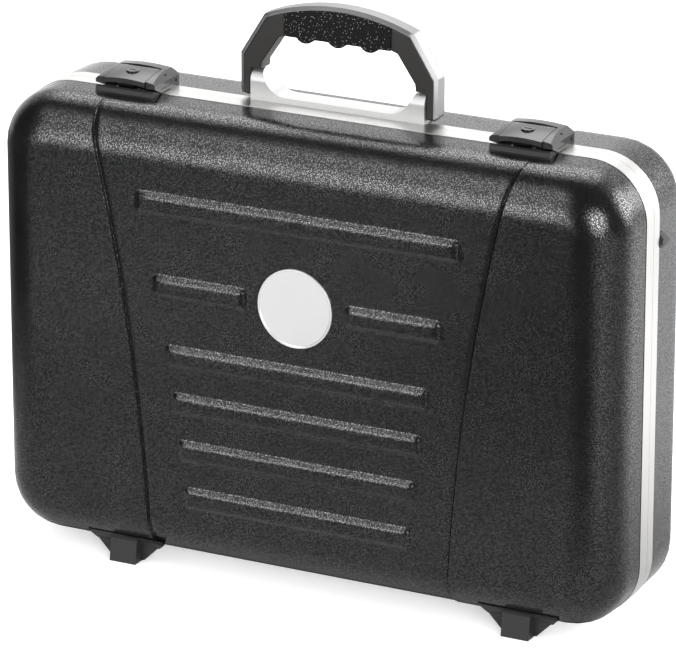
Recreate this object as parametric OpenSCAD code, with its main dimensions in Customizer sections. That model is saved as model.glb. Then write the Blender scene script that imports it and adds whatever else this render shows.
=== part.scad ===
// Hard-shell briefcase with two key latches, a folding handle and a hinged front shell.
// It stands on its feet: X runs along the width, Y from front to back, Z up.
// The origin is on the floor, under the middle of the case.

/* [Case] */
// Width over the metal frame
case_w = 460; // [400:5:560]
// Height over the metal frame
case_h = 316; // [280:4:400]
// Corner radius of the metal frame
corner_r = 40; // [36:1:56]
// Gap between the floor and the underside of the frame
floor_gap = 8; // [7:0.5:14]

/* [Frame profiles] */
// Width of the front profile, which the front shell carries
front_band = 11.4; // [10.5:0.1:16]
// Width of the rear profile, which the rear shell carries
rear_band = 8.9; // [8:0.1:16]
// Gap between the two closed profiles
seam_gap = 0.2; // [0.1:0.05:0.6]
// Thickness of the outer wall of both profiles
band_wall = 2.2; // [1.6:0.1:2.6]
// Width of the slot that holds the edge of a shell
slot_w = 3; // [2.7:0.1:4]
// Thickness of the webs and inner walls of both profiles
web_t = 1.6; // [1.2:0.1:2]
// Reach of the closing lip past the seam
lip_reach = 4; // [2:0.5:5]
// Clearance of the closing lip inside the front profile
lip_gap = 0.4; // [0.3:0.05:0.8]

/* [Shells] */
// Depth of the front shell in front of its profile
front_depth = 47; // [42:1:70]
// Depth of the rear shell behind its profile
rear_depth = 45; // [38:1:90]
// Radius of the soft edge round the front face
front_edge_r = 32; // [24:1:33]
// Radius of the edge round the rear face
rear_edge_r = 15; // [12:1:24]
// Wall thickness of both shells
wall = 2.6; // [2:0.1:2.6]
// Draft of the front shell's side walls, in degrees
front_draft = 2.5; // [1:0.5:4]
// Draft of the rear shell's side walls, in degrees
rear_draft = 1.5; // [1:0.5:3]
// Step from the frame in to the shells
shell_step = 0.3; // [0.2:0.1:0.8]
// Length of the shell edge inside its profile
tongue = 6; // [4:0.5:6.2]
// Open line between the frame and the shells
line_gap = 0.8; // [0.4:0.1:1.2]

/* [Centre panel] */
// Depth of the recessed panel between the raised side panels
panel_step = 1.6; // [0.8:0.1:2]
// Half width of the panel at the lowest rib
panel_low = 114; // [90:1:140]
// Half width of the panel at the topmost rib
panel_high = 142; // [120:1:170]
// Radius of the two curved sides of the panel
panel_curve = 1470; // [900:10:4000]

/* [Ribs and badge] */
// Height of one rib on the face
rib_h = 15; // [10:0.5:18]
// Height of the ribs above the recessed panel
rib_raise = 2.2; // [1.2:0.1:3]
// Topmost rib above the middle of the case
rib_top = 96.7; // [80:0.5:110]
// Row of the badge and its two short ribs above the middle
badge_z = 39.6; // [30:0.5:50]
// First of the lower ribs above the middle (negative is below)
rib_low = -8.8; // [-20:0.5:-5]
// Distance from one lower rib to the next
rib_pitch = 33.2; // [26:0.2:34]
// Number of lower ribs
lower_ribs = 4; // [2:1:4]
// Space left between a rib and the edge of the panel, halfway down
rib_margin = 26.5; // [15:0.5:40]
// Diameter of the badge
badge_d = 54.5; // [36:0.5:60]
// Thickness of the badge
badge_t = 1.4; // [1:0.1:1.8]
// Space between the badge and the short ribs
badge_space = 9.6; // [5:0.2:20]

/* [Latches] */
// Latch axis from the middle of the case
latch_x = 145; // [100:1:160]
// Width of a latch housing
latch_w = 45; // [36:0.5:50]
// Width of the lever that fills the housing
lever_w = 30.4; // [28:0.2:32]
// Reach of the housing in front of the seam
latch_front = 21.5; // [20.5:0.1:22]
// Reach of the lever past the front of the housing
lever_reach = 1.5; // [0.5:0.1:2]
// Reach of the housing behind the seam
latch_back = 12.5; // [11:0.5:16]
// Crown of the latch above the frame
latch_h = 13.5; // [11:0.1:16]
// Radius of the crowned top, from front to back
latch_crown_r = 110; // [90:1:200]
// Thickness of the lever plate
lever_t = 3.2; // [2.6:0.1:3.4]
// Radius of the lever's barrel round its pin
barrel_r = 3.7; // [3.3:0.1:3.8]
// Lever pin in front of the seam
lever_pin_y = 2.2; // [2:0.1:2.6]
// Diameter of the lever pin
lever_pin_d = 2.4; // [2:0.1:2.8]
// Clearance of turning pins in their bores, on the radius
run_gap = 0.05; // [0.02:0.01:0.08]
// Clearance between the lever and its housing
lever_gap = 0.35; // [0.25:0.05:0.5]
// Diameter of the key cylinder
key_d = 9.2; // [8:0.1:10]
// Key cylinder in front of the seam
key_y = 10.4; // [9.5:0.1:11]
// Diameter of the catch bar that the claw holds
bar_d = 3; // [2.4:0.1:3.2]
// Width of the claw on the lever
claw_w = 12; // [8:0.5:14]
// Width of a catch
catch_w = 43; // [34:0.5:46]
// Height of a catch above the frame
catch_h = 3.6; // [3:0.1:5]
// Length of the lock cam from the key's axis
cam_l = 11; // [10:0.5:11.5]
// Catch bar in front of the seam
bar_y = 15.2; // [14.8:0.1:16]
// Catch bar above the frame
bar_z = 1.7; // [1.6:0.1:2]

/* [Handle] */
// Outer width of the handle over its legs
handle_w = 145; // [130:1:170]
// Height of the handle above the frame
handle_h = 70.5; // [62:0.5:82]
// Height of the straight part of the legs above the frame
leg_h = 31; // [28:0.5:38]
// Height of the shoulders above the frame
shoulder_h = 59.6; // [52:0.2:68]
// Half width of the handle at its shoulders
shoulder_x = 54.7; // [48:0.1:60]
// Depth of the handle from front to back
handle_d = 14; // [11:0.5:15]
// Thickness of the legs beside the bracket
leg_t = 8; // [7:0.5:9]
// Thickness of the metal cover on the handle
cover_t = 2.6; // [2:0.1:3.2]
// Half length of the soft grip
grip_x = 39; // [36:0.5:42]
// Depth of the soft grip from front to back
grip_d = 16; // [14:0.5:18]
// Underside of the grip above the frame
grip_z = 46.6; // [44:0.2:50]
// Depth of the finger bumps
finger_bump = 3.2; // [1.5:0.1:4]
// Distance from one finger bump to the next
finger_pitch = 23.6; // [20:0.2:24]
// Handle and bracket axis behind the seam
handle_y = 11.8; // [11:0.1:14]
// Pivot of the handle above the frame
pivot_z = 12.3; // [12:0.1:13]
// Diameter of the handle pins
handle_pin_d = 5; // [4:0.2:6]

/* [Bracket] */
// Depth of the bracket from front to back
bracket_d = 16.4; // [15.6:0.2:18]
// Height of the bracket bar above the frame
bracket_bar_h = 4; // [3:0.2:5]
// Width of a horn at the height of the pivot's upper edge
horn_t = 7.2; // [5:0.1:12]
// Radius of the curve from the bar up to a horn
horn_curve_r = 16; // [12:0.5:17]
// Lean of a horn's inner side, in degrees
horn_lean = 60; // [52:1:66]

/* [Hinges and stays] */
// Hinge axis below the frame
hinge_drop = 2.9; // [2.8:0.1:3.4]
// Length of one hinge
hinge_l = 72; // [50:1:80]
// Middle of a hinge from the middle of the case
hinge_x = 70; // [55:1:75]
// Thickness of the hinge leaves
leaf_t = 1.2; // [1:0.1:1.5]
// Diameter of the hinge pins
hinge_pin_d = 3; // [2.5:0.1:3.2]
// Stay pivots above the hinge axis
stay_up = 120; // [100:1:130]
// Stay pivots in front of and behind the seam
stay_off = 16; // [15:0.5:20]
// Width of a stay link
link_w = 12; // [10:0.5:13]
// Thickness of a stay link
link_t = 1.6; // [1.2:0.1:2]
// Distance from the frame's outer face in to the outer stay links
link_in = 10.8; // [10.2:0.1:16]
// Diameter of the stay rivets
stay_pin_d = 4.5; // [4:0.1:5]

/* [Feet and lugs] */
// Middle of a foot from the middle of the case
foot_x = 147; // [120:1:150]
// Shift of the front pair of feet to the right, and of the rear pair to the left
foot_shift = 12.7; // [0:0.1:15]
// Width of a foot where it meets the shell
foot_w = 65; // [50:1:70]
// Width of the block under a foot
foot_block_w = 20; // [16:0.5:30]
// Thickness of a foot on the shell
foot_t = 3.4; // [2.5:0.1:4]
// Strap lugs above the middle of the case
lug_z = 102; // [60:1:110]
// Height of a strap lug
lug_h = 10; // [8:0.5:14]
// Length of a strap lug
lug_l = 19; // [16:0.5:26]
// Thickness of a strap lug
lug_t = 2.4; // [1.5:0.1:3]

/* [Fasteners] */
// Diameter of the screws in the bracket, the housings and the lugs
screw_d = 3; // [2.5:0.1:3.2]
// Diameter of the rivets in the hinges, the catches and the stays
rivet_d = 2.6; // [2.2:0.1:3]

/* [Hidden] */
$fn = 64;
// Small overlap that makes joined forms one solid, and the gap between pieces that only touch
eps = 0.01;
touch = 0.05;
// Heights of the frame's middle and top
mid_z = floor_gap + case_h / 2;
top_z = floor_gap + case_h;
half_w = case_w / 2;
// Reach of the front and rear faces from the seam
half_gap = seam_gap / 2;
front_edge_y = -half_gap - front_band;
rear_edge_y = half_gap + rear_band;
front_face_y = front_edge_y - front_depth;
rear_face_y = rear_edge_y + rear_depth;
panel_y = front_face_y + panel_step;
front_reach = -panel_y + max(rib_raise, panel_step);
rear_reach = rear_face_y - panel_step + max(rib_raise, panel_step);
// The seam stands where it puts the origin in the middle of the whole depth
seam_y = (front_reach - rear_reach) / 2;
// Insets of the parts of the profiles, measured in from the frame's outer face
slot_in = band_wall + slot_w;
inner_in = slot_in + web_t;
lip_in = inner_in + lip_gap;
lip_out = lip_in + web_t;
rim_out = band_wall + touch;
rim_in = slot_in - 2 * touch;
neck = 3;

// A solid from y0 to y1, drawn as seen from the front, with the middle of the case at the origin
module slab(y0, y1) {
    translate([0, y1, mid_z]) rotate([90, 0, 0]) linear_extrude(y1 - y0) children();
}

// A solid of a side view, x to the back and y up, centred on the YZ plane
module side_bar(w) {
    rotate([90, 0, 90]) linear_extrude(w, center = true) children();
}

// Rectangle with round corners, centred
module rounded(w, h, r) {
    square([w - 2 * r, h], center = true);
    square([w, h - 2 * r], center = true);
    for (x = [-1, 1], y = [-1, 1]) translate([x * (w / 2 - r), y * (h / 2 - r)]) circle(r);
}

// The frame's outline, drawn in by an inset
module outline(inset) {
    rounded(case_w - 2 * inset, case_h - 2 * inset, max(corner_r - inset, 1));
}

// Ring between two insets of the outline
module ring(out, inn, y0, y1) {
    slab(y0, y1) difference() { outline(out); outline(inn); }
}

// Section of a shell's edge: x runs out from the corner's axis, y along the depth
module edge_section(r, depth, edge_r, draft) {
    meet_y = depth - edge_r * (1 - sin(draft));
    meet_in = meet_y * tan(draft);
    round_x = r - meet_in - edge_r * cos(draft);
    polygon([[0, 0], [r, 0], [r - meet_in, meet_y], [round_x, depth - edge_r], [round_x, depth],
        [0, depth]]);
    intersection() {
        translate([round_x, depth - edge_r]) circle(edge_r);
        square([r, depth]);
    }
}

// Solid of a shell's form, from its open edge forward: walls, rounded edge and flat face
module soft_box(inset, depth, edge_r, draft) {
    r = corner_r - inset;
    cx = half_w - inset - r;
    cz = case_h / 2 - inset - r;
    for (k = [0 : 3]) {
        a = k % 2 == 0 ? cx : cz;
        b = k % 2 == 0 ? cz : cx;
        rotate([0, 0, 90 * k]) {
            translate([a, b, 0]) rotate_extrude(angle = 90) edge_section(r, depth, edge_r, draft);
            translate([a, b, 0]) rotate([90, 0, 0]) linear_extrude(2 * b)
                edge_section(r, depth, edge_r, draft);
        }
    }
    translate([-cx, -cz, 0]) cube([2 * cx, 2 * cz, depth]);
}

// Outer form of the front shell, grown outward and made shallower by the given amounts
module front_form(grow = 0, less = 0) {
    translate([0, front_edge_y - line_gap, mid_z]) rotate([90, 0, 0])
        soft_box(shell_step - grow, front_depth - line_gap - less + grow, front_edge_r + grow, front_draft);
}

// Outer form of the rear shell
module rear_form(grow = 0, less = 0) {
    translate([0, rear_edge_y + line_gap, mid_z]) rotate([-90, 0, 0])
        soft_box(shell_step - grow, rear_depth - line_gap - less + grow, rear_edge_r + grow, rear_draft);
}

// Space inside the shells, behind their necks; less makes it smaller on all sides
module front_space(less = 0) {
    translate([0, front_edge_y - neck, mid_z]) rotate([90, 0, 0])
        soft_box(shell_step + wall + neck * tan(front_draft) + less,
            front_depth - neck - wall - panel_step - less, front_edge_r - wall - less, front_draft);
}

module rear_space(less = 0) {
    translate([0, rear_edge_y + neck, mid_z]) rotate([-90, 0, 0])
        soft_box(shell_step + wall + neck * tan(rear_draft) + less,
            rear_depth - neck - wall - panel_step - less, rear_edge_r - wall - less, rear_draft);
}

// The panel's half width at a height above the middle: an arc through its low and high widths
rib_bottom = rib_low - (lower_ribs - 1) * rib_pitch;
panel_lean = atan((panel_high - panel_low) / (rib_top - rib_bottom));
panel_chord = sqrt(pow(panel_high - panel_low, 2) + pow(rib_top - rib_bottom, 2));
panel_arm = sqrt(pow(panel_curve, 2) - pow(panel_chord / 2, 2));
panel_cx = (panel_low + panel_high) / 2 + panel_arm * cos(panel_lean);
panel_cz = (rib_top + rib_bottom) / 2 - panel_arm * sin(panel_lean);
function panel_half(z) = panel_cx - sqrt(pow(panel_curve, 2) - pow(z - panel_cz, 2));

// Outline of the recessed panel, seen from the front
module panel_outline() {
    steps = 24;
    right = [for (k = [0 : steps]) let (z = case_h * (k / steps - 0.5)) [panel_half(z), z]];
    left = [for (k = [steps : -1 : 0]) let (z = case_h * (k / steps - 0.5)) [-panel_half(z), z]];
    polygon(concat(right, left));
}

// Half length of a full rib at a height above the middle, which closes up on the panel's edge upward
rib_ease = 0.03;
function rib_half(z) = panel_half(z) - rib_margin + z * rib_ease;

// Section across a rib: x to the back, y up
module rib_section(h) {
    e = rib_raise * 0.9;
    translate([e - rib_raise, -h / 2]) square([rib_raise - e + 0.1, h]);
    translate([-rib_raise, e - h / 2]) square([e + eps, h - 2 * e]);
    for (s = [-1, 1]) translate([e - rib_raise, s * (h / 2 - e)]) circle(e);
}

// A rib from x0 to x1 at height z, with rounded corners and edges
module rib(x0, x1, z) {
    l = x1 - x0;
    translate([(x0 + x1) / 2, panel_y, mid_z + z]) intersection() {
        translate([0, 0.1, 0]) rotate([90, 0, 0]) linear_extrude(rib_raise + 0.1)
            rounded(l, rib_h, rib_raise * 1.5);
        side_bar(l) rib_section(rib_h);
        linear_extrude(rib_h, center = true) rotate([0, 0, 90]) mirror([0, 1]) rib_section(l);
    }
}

// Ribs that run across the panel, on both shells
module full_ribs() {
    for (z = concat([for (k = [0 : lower_ribs - 1]) rib_low - k * rib_pitch], [rib_top]))
        rib(-rib_half(z), rib_half(z), z);
}

module front_shell() {
    near = badge_d / 2 + badge_space;
    color([0.13, 0.13, 0.13]) translate([0, seam_y, 0]) {
        difference() {
            union() {
                front_form(0, panel_step);
                difference() {
                    front_form();
                    slab(front_face_y - 1, front_edge_y) panel_outline();
                }
                ring(rim_out, rim_in, front_edge_y - neck, front_edge_y + tongue);
            }
            front_space();
            slab(front_edge_y - neck - eps, front_edge_y + eps) outline(rim_in);
            catch_rivet_places() cylinder(d = rivet_d, h = 8, center = true);
        }
        full_ribs();
        rib(near, rib_half(badge_z), badge_z);
        rib(-rib_half(badge_z), -near, badge_z);
    }
}

module rear_shell() {
    color([0.13, 0.13, 0.13]) translate([0, seam_y, 0]) {
        difference() {
            union() {
                rear_form(0, panel_step);
                difference() {
                    rear_form();
                    slab(rear_edge_y, rear_face_y + 1) panel_outline();
                }
                ring(rim_out, rim_in, rear_edge_y - tongue, rear_edge_y + neck);
            }
            rear_space();
            slab(rear_edge_y - eps, rear_edge_y + neck + eps) outline(rim_in);
            bracket_screw_places() cylinder(d = screw_d, h = 8, center = true);
            latch_screw_places() cylinder(d = screw_d, h = 12, center = true);
            lug_screw_places() translate([0, 0, -1]) cylinder(d = screw_d, h = 3.4);
        }
        translate([0, rear_face_y - panel_step + panel_y, 0]) mirror([0, 1, 0]) full_ribs();
    }
}

module front_frame() {
    color([0.85, 0.85, 0.86]) translate([0, seam_y, 0]) difference() {
        union() {
            ring(0, band_wall, front_edge_y, -half_gap);
            ring(0, inner_in, -half_gap - web_t, -half_gap);
            ring(slot_in, inner_in, front_edge_y + 2, -half_gap);
            ring(slot_in, lip_out + lip_gap, front_edge_y + 2, front_edge_y + 2 + web_t);
        }
        hinge_rivet_places(-1) cylinder(d = rivet_d, h = 2 * rivet_depth, center = true);
    }
}

module rear_frame() {
    color([0.85, 0.85, 0.86]) translate([0, seam_y, 0]) difference() {
        union() {
            ring(0, band_wall, half_gap, rear_edge_y);
            ring(0, lip_out, half_gap, half_gap + web_t);
            ring(slot_in, inner_in, half_gap, rear_edge_y - 1);
            ring(lip_in, lip_out, -lip_reach, half_gap + web_t);
        }
        hinge_rivet_places(1) cylinder(d = rivet_d, h = 2 * rivet_depth, center = true);
        latch_screw_places() cylinder(d = screw_d, h = 2 * inner_in + 2, center = true);
    }
}

// Soft strip in the front profile that the closing lip meets
module frame_seal() {
    color([0.08, 0.08, 0.08]) translate([0, seam_y, 0])
        ring(inner_in + touch, lip_out + lip_gap - touch, front_edge_y + 2 + web_t, -lip_reach - 0.3);
}

// Plain disc in the middle of the badge row, with a raised rim
module badge() {
    color([0.88, 0.88, 0.89]) translate([0, seam_y, 0]) slab(panel_y - badge_t, panel_y)
        translate([0, badge_z]) circle(d = badge_d);
}

// Bracket: a bar that curves up into a horn at each end
horn_x = handle_w / 2 - leg_t - 0.5;
horn_r = bracket_d / 2;
curve_z = bracket_bar_h + horn_curve_r * (1 - cos(horn_lean));
horn_in = horn_x - horn_t;
curve_x = horn_in - (pivot_z + horn_r - curve_z) / tan(horn_lean);
bracket_flat = curve_x - horn_curve_r * sin(horn_lean);
bracket_screw_y = 3.2;

module bracket_screw_places() {
    for (x = [-0.81, -0.28, 0.28, 0.81]) translate([x * horn_x, handle_y + bracket_screw_y, top_z])
        children();
}

// Half of the bracket's outline, seen from the front
module bracket_half() {
    polygon([[0, 0], [horn_x, 0], [horn_x, pivot_z + horn_r], [horn_in, pivot_z + horn_r],
        [curve_x, curve_z], [curve_x, bracket_bar_h], [0, bracket_bar_h]]);
    difference() {
        translate([bracket_flat, bracket_bar_h - eps])
            square([curve_x - bracket_flat, curve_z - bracket_bar_h]);
        translate([bracket_flat, bracket_bar_h + horn_curve_r]) circle(horn_curve_r);
    }
}

module handle_bracket() {
    color([0.86, 0.86, 0.87]) translate([0, seam_y, 0]) difference() {
        translate([0, handle_y, top_z]) intersection() {
            rotate([90, 0, 0]) linear_extrude(bracket_d, center = true) {
                bracket_half();
                mirror([1, 0]) bracket_half();
            }
            side_bar(2 * horn_x) {
                translate([-horn_r, 0]) square([2 * horn_r, pivot_z]);
                translate([0, pivot_z]) circle(horn_r);
            }
        }
        translate([0, handle_y, top_z + pivot_z]) rotate([0, 90, 0])
            cylinder(d = handle_pin_d, h = case_w, center = true);
        bracket_screw_places() cylinder(d = screw_d, h = bracket_bar_h - 1);
    }
}

// Screws from inside the rear shell up into the bracket
module bracket_screws() {
    color([0.6, 0.6, 0.6]) translate([0, seam_y, 0]) bracket_screw_places() {
        translate([0, 0, -3.6]) cylinder(d = screw_d, h = bracket_bar_h + 2.4);
        translate([0, 0, -5]) cylinder(d = 1.9 * screw_d, h = 1.6);
    }
}

// Handle: the area inside its outer outline, drawn in by t
arch_rise = handle_h - shoulder_h;
arch_r = (pow(shoulder_x, 2) + pow(arch_rise, 2)) / (2 * arch_rise);
leg_lean = atan((handle_w / 2 - shoulder_x) / (shoulder_h - leg_h));
leg_end = 1.3;

module handle_area(t) {
    x = handle_w / 2 - t;
    z = leg_h - t * tan(leg_lean / 2);
    intersection() {
        translate([0, handle_h - arch_r]) circle(arch_r - t, $fn = 256);
        polygon([[-x, leg_end], [x, leg_end], [x, z], [0, z + x / tan(leg_lean)], [-x, z]]);
    }
}

// Opening under the handle: finger space, horns and rounded ends of the legs
inner_x = handle_w / 2 - leg_t;
horn_clear = pivot_z + horn_r + 0.6;
leg_corner = 5;

module handle_opening() {
    polygon([[-inner_x, -1], [inner_x, -1], [inner_x, horn_clear], [horn_in, horn_clear],
        [horn_in - 0.5, horn_clear + 5], [grip_x + 4.5, grip_z - 1.6], [grip_x, grip_z], [-grip_x, grip_z],
        [-grip_x - 4.5, grip_z - 1.6], [0.5 - horn_in, horn_clear + 5], [-horn_in, horn_clear],
        [-inner_x, horn_clear]]);
    for (s = [-1, 1]) scale([s, 1]) difference() {
        translate([handle_w / 2 - leg_corner, leg_end - 1]) square([leg_corner + 1, leg_corner + 1]);
        translate([handle_w / 2 - leg_corner, leg_end + leg_corner]) circle(leg_corner);
    }
}

// Round end of the legs about the pivot
module leg_round() {
    side_bar(handle_w + 2) {
        translate([0, pivot_z]) circle(pivot_z - leg_end);
        translate([-handle_d, pivot_z]) square([2 * handle_d, handle_h]);
    }
}

module handle_slab(d) {
    rotate([90, 0, 0]) linear_extrude(d, center = true) children();
}

grip_bar_z = grip_z + 5;
grip_bar_h = 11;

// Moulded body of the handle: both legs, joined by a bar inside the grip
module handle_core() {
    color([0.1, 0.1, 0.1]) translate([0, seam_y + handle_y, top_z]) difference() {
        union() {
            intersection() {
                handle_slab(handle_d) difference() {
                    handle_area(cover_t + touch);
                    handle_opening();
                    square([2 * grip_x, 4 * handle_h], center = true);
                }
                leg_round();
            }
            translate([-grip_x - 1, -handle_d / 4, grip_bar_z])
                cube([2 * grip_x + 2, handle_d / 2, grip_bar_h]);
        }
        translate([0, 0, pivot_z]) rotate([0, 90, 0])
            cylinder(d = handle_pin_d + 2 * run_gap, h = 2 * (horn_x + leg_t - 2), center = true);
    }
}

// Metal cover over the outer sides and the top of the handle
module handle_cover() {
    color([0.82, 0.82, 0.83]) translate([0, seam_y + handle_y, top_z]) intersection() {
        handle_slab(handle_d) difference() {
            handle_area(0);
            handle_area(cover_t);
            handle_opening();
            translate([0, leg_end]) square([handle_w + 1, 5], center = true);
        }
        leg_round();
    }
}

// Soft grip with finger bumps, round the bar of the handle
module handle_grip() {
    bump_r = 8;
    color([0.07, 0.07, 0.07]) translate([0, seam_y + handle_y, top_z]) difference() {
        handle_slab(grip_d) intersection() {
            handle_area(cover_t + touch);
            union() {
                translate([touch - grip_x, grip_z]) square([2 * grip_x - 2 * touch, handle_h]);
                for (k = [-1 : 1]) translate([k * finger_pitch, grip_z - finger_bump + bump_r])
                    circle(bump_r);
            }
        }
        translate([-grip_x - 1, -handle_d / 4 - touch, grip_bar_z - touch])
            cube([2 * grip_x + 2, handle_d / 2 + 2 * touch, grip_bar_h + 2 * touch]);
    }
}

// Pins in the horns that the legs turn on
module handle_pins() {
    color([0.7, 0.7, 0.7]) translate([0, seam_y + handle_y, top_z + pivot_z]) for (s = [-1, 1])
        scale([s, 1, 1]) translate([horn_in + 1, 0, 0]) rotate([0, 90, 0])
            cylinder(d = handle_pin_d, h = horn_x + leg_t - 3.3 - horn_in);
}

// Friction washers between the horns and the legs
module handle_washers() {
    color([0.2, 0.2, 0.2]) translate([0, seam_y + handle_y, top_z + pivot_z]) for (s = [-1, 1])
        scale([s, 1, 1]) translate([horn_x + touch, 0, 0]) rotate([0, 90, 0]) difference() {
            cylinder(d = 2 * horn_r - 3, h = 0.5 - 2 * touch);
            translate([0, 0, -1]) cylinder(d = handle_pin_d, h = 3);
        }
}

// Latch: sizes that follow from its housing, lever and catch bar
lever_z = latch_h - barrel_r - 0.35;
crown_y = 3;
pocket_w = lever_w + 2 * lever_gap;
block_y = barrel_r - lever_pin_y + lever_gap;
bar_arm = sqrt(pow(bar_y - lever_pin_y, 2) + pow(lever_z - bar_z, 2));
claw_in = bar_arm + bar_d / 2 + 0.2;
claw_t = 2.2;
boss_d = key_d + 3.2;
neck_d = 4.2;
cam_z = 1.8;
cam_t = 1.5;
ledge_z = cam_z + cam_t + 0.2;
flange_z = ledge_z + 1.5;
boss_z = flange_z + 1.3;
spring_z = lever_z - barrel_r - 0.55;

// Moves children to the latch on side s, with the middle of the seam on the frame's top as origin
module at_latch(s) {
    translate([s * latch_x, seam_y, top_z]) children();
}

// The crowned top, lowered by t: a large ball with its top over the middle of the latch
module crown(t) {
    translate([0, crown_y, latch_h - latch_crown_r]) sphere(latch_crown_r - t, $fn = 256);
}

module latch_screw_places() {
    for (s = [-1, 1], x = [-12, 12]) translate([s * latch_x + x, 5, top_z]) children();
}

// Moulded housing: two cheeks and a block behind the lever, with a ledge for the lock cam
module latch_housing(s) {
    w = latch_w / 2;
    color([0.09, 0.09, 0.09]) at_latch(s) difference() {
        intersection() {
            crown(0);
            side_bar(latch_w) polygon([[-latch_front, 4.9], [-12, 0.4], [half_gap, 0.4], [half_gap, 0],
                [latch_back, 0], [latch_back, 8.6], [latch_back - 4, latch_h + 1],
                [-latch_front, latch_h + 1]]);
            translate([0, latch_back + 1, 0]) rotate([90, 0, 0])
                linear_extrude(latch_front + latch_back + 2) polygon([[-w, 0], [w, 0], [w, 7.2],
                [pocket_w / 2 + 0.7, latch_h + 0.5], [-pocket_w / 2 - 0.7, latch_h + 0.5], [-w, 7.2]]);
        }
        difference() {
            translate([-pocket_w / 2, -40, -1]) cube([pocket_w, 40 + block_y, 30]);
            translate([s > 0 ? 8 : -28, -key_y - 2.5, ledge_z]) cube([20, 5, 1.2]);
        }
        translate([0, -lever_pin_y, lever_z]) rotate([0, 90, 0])
            cylinder(d = lever_pin_d, h = 2 * lever_pin_half, center = true);
        translate([-5 - touch, 0, spring_z - touch]) cube([10 + 2 * touch, block_y + 3, 0.4 + 2 * touch]);
        for (x = [-12, 12]) translate([x, 5, -1]) cylinder(d = screw_d, h = 5);
        for (t = [-1, 1]) translate([t * (w + 0.5), -2, 4]) cube([2.2, 22, 2.6], center = true);
    }
}
lever_pin_half = latch_w / 2 - 2;

// Lever plate with a barrel round its pin and a boss round the key cylinder
module latch_lever(s) {
    color([0.09, 0.09, 0.09]) at_latch(s) difference() {
        union() {
            intersection() {
                crown(0);
                union() {
                    difference() {
                        side_bar(lever_w) translate([-latch_front - lever_reach, 0])
                            square([latch_front + lever_reach - lever_pin_y, 20]);
                        crown(lever_t);
                    }
                    side_bar(lever_w) translate([-lever_pin_y, lever_z]) circle(barrel_r);
                }
            }
            translate([0, -key_y, boss_z]) cylinder(d = boss_d, h = latch_h - lever_t - boss_z);
        }
        translate([0, -key_y, 0]) cylinder(d = key_d + 2 * run_gap, h = 20);
        translate([0, -lever_pin_y, lever_z]) rotate([0, 90, 0])
            cylinder(d = lever_pin_d + 2 * run_gap, h = 50, center = true);
    }
}

// Steel claw under the lever that holds the catch bar
module latch_claw(s) {
    color([0.6, 0.6, 0.62]) at_latch(s) intersection() {
        crown(lever_t + touch);
        side_bar(claw_w) {
            intersection() {
                translate([-lever_pin_y, lever_z]) difference() {
                    circle(claw_in + claw_t, $fn = 128);
                    circle(claw_in, $fn = 128);
                }
                translate([-40, 0.4]) square([40 - bar_y - 0.5, 10]);
            }
            translate([-lever_pin_y - claw_in - claw_t, lever_z - 2.6])
                square([lever_pin_y + claw_in + claw_t - key_y - boss_d / 2 - 0.1, 4]);
        }
    }
}

// Key cylinder with a slot for the key, a collar under the lever and a neck for the cam
module key_cylinder(s) {
    color([0.75, 0.75, 0.76]) at_latch(s) translate([0, -key_y, 0]) difference() {
        union() {
            translate([0, 0, flange_z + eps]) cylinder(d = key_d, h = latch_h - 0.3 - flange_z);
            translate([0, 0, flange_z]) cylinder(d = key_d + 1.4, h = 1.2);
            translate([0, 0, cam_z]) cylinder(d = neck_d, h = 5);
        }
        translate([-2.6, -0.6, latch_h - 4]) cube([5.2, 1.2, 6]);
    }
}

// Lock cam on the key cylinder's neck, under the ledge when it is turned
module lock_cam(s) {
    color([0.6, 0.6, 0.62]) at_latch(s) translate([0, -key_y, cam_z]) linear_extrude(cam_t) difference() {
        union() {
            circle(d = neck_d + 1.4);
            translate([-2.5, 0]) square([5, cam_l - 2.5]);
            translate([0, cam_l - 2.5]) circle(2.5);
        }
        circle(d = neck_d);
    }
}

module lever_pins() {
    color([0.7, 0.7, 0.7]) for (s = [-1, 1]) at_latch(s) translate([0, -lever_pin_y, lever_z])
        rotate([0, 90, 0]) cylinder(d = lever_pin_d, h = 2 * lever_pin_half, center = true);
}

// Leaf springs set in the housings, under the barrels
module lever_springs() {
    color([0.65, 0.65, 0.67]) for (s = [-1, 1]) at_latch(s)
        translate([-5, -4.6, spring_z]) cube([10, 4.6 + block_y + 2.9, 0.4]);
}

// Screws from inside the rear profile up into the housings
module latch_screws() {
    color([0.6, 0.6, 0.6]) translate([0, seam_y, 0]) latch_screw_places() {
        translate([0, 0, -inner_in - 0.2]) cylinder(d = screw_d, h = inner_in + 3.6);
        translate([0, 0, -inner_in - 1.8]) cylinder(d = 1.6 * screw_d, h = 1.8);
    }
}

// Catch on the front shell: a block that hugs the shell, with two lugs inside for the bar
catch_back = line_gap - front_edge_y + 0.3;
catch_wall_y = lever_pin_y + sqrt(pow(claw_in + claw_t, 2) - pow(lever_z - catch_h, 2)) + 0.4;
catch_front = catch_wall_y + 2.6;
bar_half = 13.5;
catch_rivet_x = catch_w / 2 - 2.4;
catch_rivet_y = catch_wall_y - 1.5;

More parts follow.
